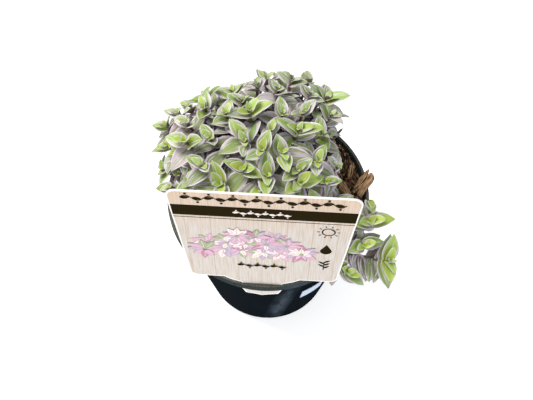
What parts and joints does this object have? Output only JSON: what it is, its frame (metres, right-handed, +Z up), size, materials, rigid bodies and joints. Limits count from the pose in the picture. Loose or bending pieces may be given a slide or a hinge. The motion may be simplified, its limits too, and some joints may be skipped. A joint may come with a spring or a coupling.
{
  "type": "potted turtle vine",
  "caption": "Small trailing succulent vine in a tapered nursery pot, with potting mix, bark chips and a wide plant label set in a slot of the rim.",
  "frame": {"origin": "centre of the pot's flat underside, on the surface that it stands on", "axes": "+Z up the pot's axis; -Y towards the front, where the label stands; +X to the right seen from the front"},
  "size_m": [0.1582, 0.144, 0.2111],
  "materials": {
    "pot_plastic": "satin moulded black",
    "potting_mix": "rough dark peat and bark",
    "bark": "split brown bark",
    "leaves": "fleshy striped leaves on thin purple stems",
    "label_sheet": "printed plastic sheet",
    "sticker_paper": "blank coated paper"
  },
  "bodies": {
    "root": {"bark_chip_1": "bark", "bark_chip_2": "bark", "bark_chip_3": "bark", "bark_chip_4": "bark", "bark_chip_5": "bark", "bark_chip_6": "bark", "leafy_spray_01": "leaves", "leafy_spray_02": "leaves", "leafy_spray_03": "leaves", "leafy_spray_04": "leaves", "leafy_spray_05": "leaves", "leafy_spray_06": "leaves", "leafy_spray_07": "leaves", "leafy_spray_08": "leaves", "leafy_spray_09": "leaves", "leafy_spray_10": "leaves", "leafy_spray_11": "leaves", "leafy_spray_12": "leaves", "leafy_spray_13": "leaves", "leafy_spray_14": "leaves", "leafy_spray_15": "leaves", "leafy_spray_16": "leaves", "leafy_spray_17": "leaves", "leafy_spray_18": "leaves", "leafy_spray_19": "leaves", "leafy_spray_20": "leaves", "leafy_spray_21": "leaves", "leafy_spray_22": "leaves", "leafy_spray_23": "leaves", "leafy_spray_24": "leaves", "leafy_spray_25": "leaves", "leafy_spray_26": "leaves", "nursery_pot": "pot_plastic", "plant_label": "label_sheet", "potting_mix": "potting_mix", "trailing_stem_1": "leaves", "trailing_stem_2": "leaves", "trailing_stem_3": "leaves", "trailing_stem_4": "leaves", "trailing_stem_5": "leaves", "wall_sticker": "sticker_paper"}
  },
  "joints": []
}
